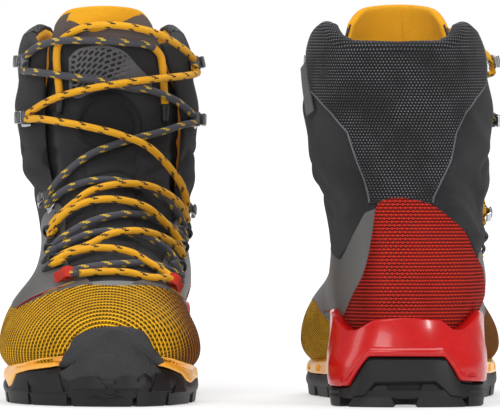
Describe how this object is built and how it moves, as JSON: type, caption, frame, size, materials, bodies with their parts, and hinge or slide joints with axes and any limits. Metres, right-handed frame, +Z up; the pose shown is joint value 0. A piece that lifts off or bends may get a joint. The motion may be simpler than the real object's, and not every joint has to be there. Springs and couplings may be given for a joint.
{
  "type": "mountaineering boots",
  "caption": "Pair of high mountaineering boots with hinging padded cuffs, laced throats, rubber toe caps, lugged two-part soles and a heel cradle.",
  "frame": {"origin": "centre of the pair's footprint, on the ground under the soles", "axes": "+Z up; +Y along the boots, towards the left boot's toe and the right boot's heel; +X from the right boot to the left boot"},
  "size_m": [0.2688, 0.3014, 0.213],
  "materials": {
    "rubber_black": "matte",
    "midsole_orange": "satin",
    "cradle_red": "glossy",
    "core_gray": "matte",
    "shank_steel": "brushed",
    "board_tan": "matte",
    "footbed_gray": "matte",
    "lining_dark": "matte",
    "stiffener_shell": "matte",
    "vamp_mustard": "matte",
    "quarter_gray": "satin",
    "counter_red": "matte",
    "softshell_black": "matte",
    "collar_yellow": "matte",
    "panel_weave": "matte",
    "tongue_brown": "matte",
    "eyelet_black": "satin",
    "webbing_red": "matte",
    "hook_metal": "satin",
    "lace_yellow": "matte",
    "aglet_black": "glossy"
  },
  "bodies": {
    "right_foot": {"right_outsole_forefoot": "rubber_black", "right_outsole_heel": "rubber_black", "right_toe_cap": "rubber_black", "right_midsole_forefoot": "midsole_orange", "right_heel_cradle": "cradle_red", "right_midsole_core": "core_gray", "right_shank": "shank_steel", "right_lasting_board": "board_tan", "right_footbed": "footbed_gray", "right_foot_lining": "lining_dark", "right_heel_stiffener": "stiffener_shell", "right_vamp": "vamp_mustard", "right_quarter_lateral": "quarter_gray", "right_quarter_medial": "quarter_gray", "right_heel_counter": "counter_red", "right_tongue_lower": "softshell_black", "right_eyelet_loops": "eyelet_black", "right_webbing_loops": "webbing_red", "right_locking_hooks": "hook_metal", "right_lace_lower": "lace_yellow", "right_ankle_softshell": "softshell_black", "right_tongue_flex": "softshell_black", "right_lace_crossing": "lace_yellow"},
    "right_cuff": {"right_collar_lining": "collar_yellow", "right_cuff_softshell": "softshell_black", "right_rear_panel": "panel_weave", "right_tongue_upper": "tongue_brown", "right_cuff_hooks": "hook_metal", "right_lace_upper": "lace_yellow", "right_lace_aglets": "aglet_black"},
    "left_foot": {"left_outsole_forefoot": "rubber_black", "left_outsole_heel": "rubber_black", "left_toe_cap": "rubber_black", "left_midsole_forefoot": "midsole_orange", "left_heel_cradle": "cradle_red", "left_midsole_core": "core_gray", "left_shank": "shank_steel", "left_lasting_board": "board_tan", "left_footbed": "footbed_gray", "left_foot_lining": "lining_dark", "left_heel_stiffener": "stiffener_shell", "left_vamp": "vamp_mustard", "left_quarter_lateral": "quarter_gray", "left_quarter_medial": "quarter_gray", "left_heel_counter": "counter_red", "left_tongue_lower": "softshell_black", "left_eyelet_loops": "eyelet_black", "left_webbing_loops": "webbing_red", "left_locking_hooks": "hook_metal", "left_lace_lower": "lace_yellow", "left_ankle_softshell": "softshell_black", "left_tongue_flex": "softshell_black", "left_lace_crossing": "lace_yellow"},
    "left_cuff": {"left_collar_lining": "collar_yellow", "left_cuff_softshell": "softshell_black", "left_rear_panel": "panel_weave", "left_tongue_upper": "tongue_brown", "left_cuff_hooks": "hook_metal", "left_lace_upper": "lace_yellow", "left_lace_aglets": "aglet_black"}
  },
  "joints": [
    {"name": "right_ankle_flex", "type": "hinge", "parent": "right_foot", "child": "right_cuff", "pos_m": [-0.08138, 0.08, 0.1], "axis": [1, 0, 0], "range_deg": [-7, 11], "stiffness_Nm_per_rad": 5, "deforming": ["right_ankle_softshell", "right_tongue_flex", "right_lace_crossing"]},
    {"name": "left_ankle_flex", "type": "hinge", "parent": "left_foot", "child": "left_cuff", "pos_m": [0.07963, -0.08, 0.1], "axis": [-1, 0, 0], "range_deg": [-7, 11], "stiffness_Nm_per_rad": 5, "deforming": ["left_ankle_softshell", "left_tongue_flex", "left_lace_crossing"]},
    {"name": "pair_spacing", "type": "slide", "parent": "right_foot", "child": "left_foot", "axis": [1, 0, 0], "range_m": [-0.03, 0.1]}
  ]
}
